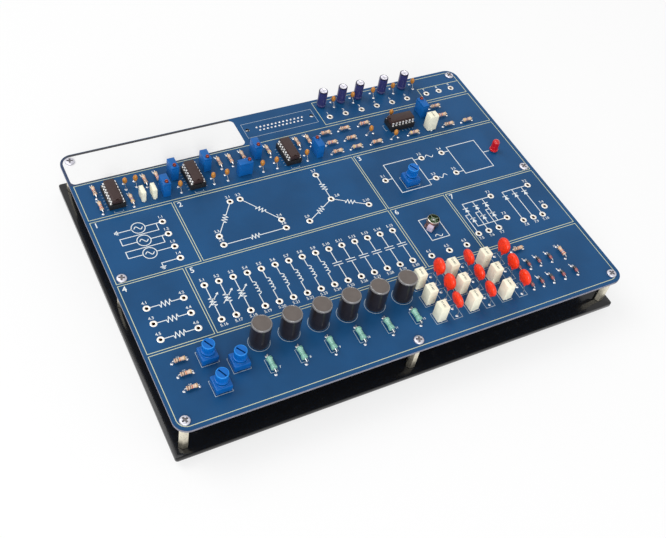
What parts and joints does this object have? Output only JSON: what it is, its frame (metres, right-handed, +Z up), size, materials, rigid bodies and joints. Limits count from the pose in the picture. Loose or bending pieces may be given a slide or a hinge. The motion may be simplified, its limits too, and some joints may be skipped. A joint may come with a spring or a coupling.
{
  "type": "three-phase circuit trainer module",
  "caption": "Dark blue training circuit board on brass standoffs over a black base plate, with terminals, trimmers, knobs, integrated circuits and a small motor.",
  "frame": {"origin": "on the ground under the middle of the base plate", "axes": "+X along the board's length, left to right; +Y to the rear edge; +Z up"},
  "size_m": [0.291, 0.208, 0.0495],
  "materials": {
    "black_acrylic": "polished black sheet",
    "board_blue": "dark blue solder mask on glass fibre",
    "rubber": "matt black rubber",
    "pale_brass": "pale plated brass",
    "inductor_black": "black shrink sleeve over ferrite",
    "socket_black": "moulded black",
    "chip_black": "moulded epoxy",
    "pot_blue": "bright blue moulding",
    "knob_blue": "bright blue moulding",
    "trimmer_blue": "blue moulding",
    "trimmer_screw_red": "brass under red lacquer",
    "can_violet": "violet sleeve on an aluminium can",
    "led_red": "clear red epoxy",
    "motor_copper": "copper windings on an alloy base",
    "motor_bell_silver": "bright turned alloy",
    "tin_plate": "tin-plated steel",
    "connector_black": "moulded black"
  },
  "bodies": {
    "module": {"base_plate": "black_acrylic", "circuit_board": "board_blue", "foot_front_left": "rubber", "foot_front_right": "rubber", "foot_rear_left": "rubber", "foot_rear_right": "rubber", "standoff_front_left": "pale_brass", "standoff_front_middle": "pale_brass", "standoff_front_right": "pale_brass", "standoff_middle_left": "pale_brass", "standoff_middle_right": "pale_brass", "standoff_rear_left": "pale_brass", "standoff_rear_right": "pale_brass", "inductor_1": "inductor_black", "inductor_2": "inductor_black", "inductor_3": "inductor_black", "inductor_4": "inductor_black", "inductor_5": "inductor_black", "inductor_6": "inductor_black", "ic_socket_1": "socket_black", "ic_chip_1": "chip_black", "pot_body_1": "pot_blue", "ic_socket_2": "socket_black", "ic_chip_2": "chip_black", "pot_body_2": "pot_blue", "ic_socket_3": "socket_black", "ic_chip_3": "chip_black", "pot_body_3": "pot_blue", "ic_socket_4": "socket_black", "ic_chip_4": "chip_black", "pot_body_4": "pot_blue", "trimmer_body_1": "trimmer_blue", "trimmer_body_2": "trimmer_blue", "trimmer_body_3": "trimmer_blue", "trimmer_body_4": "trimmer_blue", "trimmer_body_5": "trimmer_blue", "trimmer_body_6": "trimmer_blue", "trimmer_body_7": "trimmer_blue", "electrolytic_1": "can_violet", "electrolytic_2": "can_violet", "electrolytic_3": "can_violet", "electrolytic_4": "can_violet", "electrolytic_5": "can_violet", "status_led": "led_red", "motor_stator": "motor_copper", "connector_shell": "tin_plate", "connector_insulator": "connector_black"},
    "knob_1": {"pot_knob_1": "knob_blue"},
    "knob_2": {"pot_knob_2": "knob_blue"},
    "knob_3": {"pot_knob_3": "knob_blue"},
    "knob_4": {"pot_knob_4": "knob_blue"},
    "trimmer_1_screw": {"trimmer_screw_1": "trimmer_screw_red"},
    "trimmer_2_screw": {"trimmer_screw_2": "trimmer_screw_red"},
    "trimmer_3_screw": {"trimmer_screw_3": "trimmer_screw_red"},
    "trimmer_4_screw": {"trimmer_screw_4": "trimmer_screw_red"},
    "trimmer_5_screw": {"trimmer_screw_5": "trimmer_screw_red"},
    "trimmer_6_screw": {"trimmer_screw_6": "trimmer_screw_red"},
    "trimmer_7_screw": {"trimmer_screw_7": "trimmer_screw_red"},
    "rotor": {"motor_rotor": "motor_bell_silver"}
  },
  "joints": [
    {"name": "knob_1_turn", "type": "hinge", "parent": "module", "child": "knob_1", "pos_m": [0.05774, 0.01348, 0.0393], "axis": [0, 0, 1], "range_deg": [-140, 140]},
    {"name": "knob_2_turn", "type": "hinge", "parent": "module", "child": "knob_2", "pos_m": [-0.11388, -0.06552, 0.0393], "axis": [0, 0, 1], "range_deg": [-140, 140]},
    {"name": "knob_3_turn", "type": "hinge", "parent": "module", "child": "knob_3", "pos_m": [-0.09964, -0.07537, 0.0393], "axis": [0, 0, 1], "range_deg": [-140, 140]},
    {"name": "knob_4_turn", "type": "hinge", "parent": "module", "child": "knob_4", "pos_m": [-0.11397, -0.08477, 0.0393], "axis": [0, 0, 1], "range_deg": [-140, 140]},
    {"name": "trimmer_1_turn", "type": "hinge", "parent": "module", "child": "trimmer_1_screw", "pos_m": [-0.0928, 0.05298, 0.0424], "axis": [0, 0, 1], "continuous": true},
    {"name": "trimmer_2_turn", "type": "hinge", "parent": "module", "child": "trimmer_2_screw", "pos_m": [-0.08352, 0.06437, 0.0424], "axis": [0, 0, 1], "continuous": true},
    {"name": "trimmer_3_turn", "type": "hinge", "parent": "module", "child": "trimmer_3_screw", "pos_m": [-0.06177, 0.06499, 0.0424], "axis": [0, 0, 1], "continuous": true},
    {"name": "trimmer_4_turn", "type": "hinge", "parent": "module", "child": "trimmer_4_screw", "pos_m": [-0.0379, 0.05444, 0.0424], "axis": [0, 0, 1], "continuous": true},
    {"name": "trimmer_5_turn", "type": "hinge", "parent": "module", "child": "trimmer_5_screw", "pos_m": [-0.02726, 0.06499, 0.0424], "axis": [0, 0, 1], "continuous": true},
    {"name": "trimmer_6_turn", "type": "hinge", "parent": "module", "child": "trimmer_6_screw", "pos_m": [0.0116, 0.059, 0.0424], "axis": [0, 0, 1], "continuous": true},
    {"name": "trimmer_7_turn", "type": "hinge", "parent": "module", "child": "trimmer_7_screw", "pos_m": [0.09773, 0.07142, 0.0424], "axis": [0, 0, 1], "continuous": true},
    {"name": "rotor_spin", "type": "hinge", "parent": "module", "child": "rotor", "pos_m": [0.05235, -0.02395, 0.035], "axis": [0, 0, 1], "continuous": true}
  ]
}
